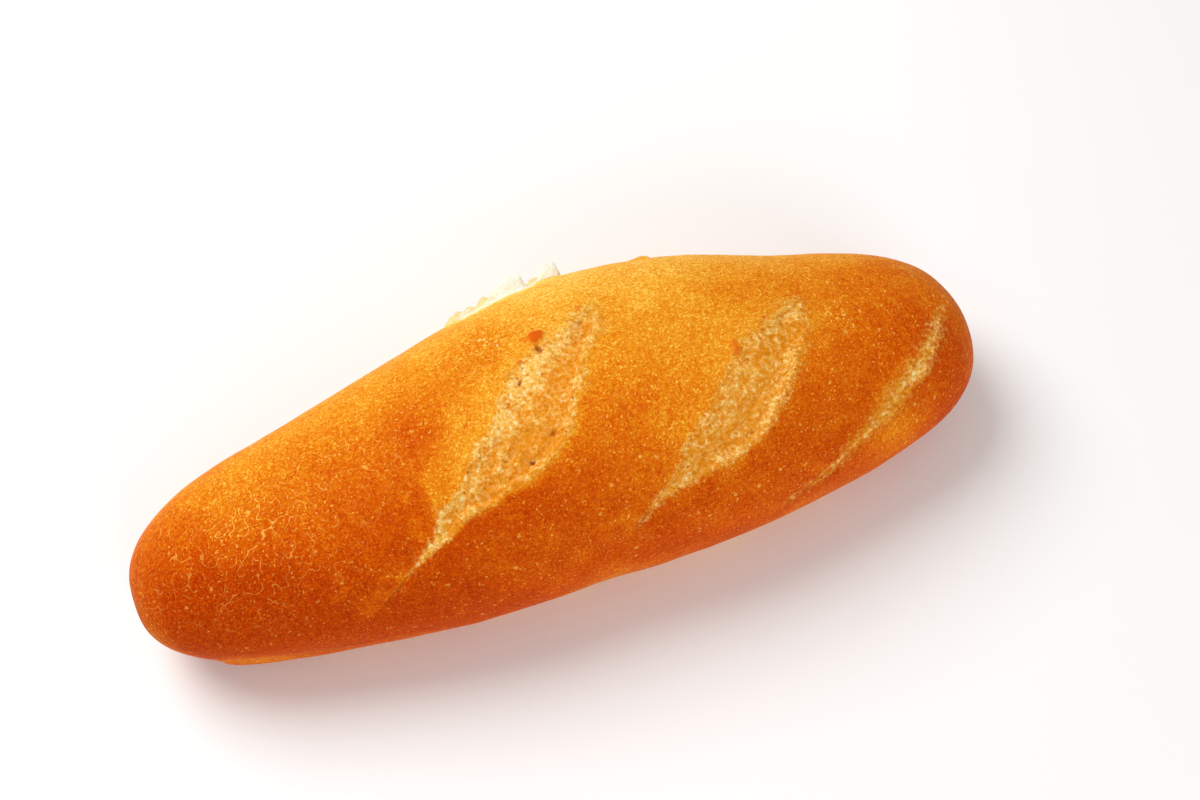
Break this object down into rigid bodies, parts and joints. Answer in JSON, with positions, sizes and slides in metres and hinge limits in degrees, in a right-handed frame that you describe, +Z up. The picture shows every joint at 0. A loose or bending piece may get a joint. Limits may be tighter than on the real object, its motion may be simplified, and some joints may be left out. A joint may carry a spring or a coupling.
{
  "type": "baguette",
  "caption": "Small crusty baguette: a long round-ended loaf with slanted scores across its crown, lying on a flat base.",
  "frame": {"origin": "on the surface that the loaf rests on, under the middle of its outline", "axes": "+X along the loaf from its blunt end to its narrower end, +Y across it towards the flank that a neighbouring loaf tore from, +Z up out of the crown"},
  "size_m": [0.205, 0.0742, 0.0501],
  "materials": {
    "crust": "matte"
  },
  "bodies": {
    "root": {"loaf": "crust"}
  },
  "joints": []
}
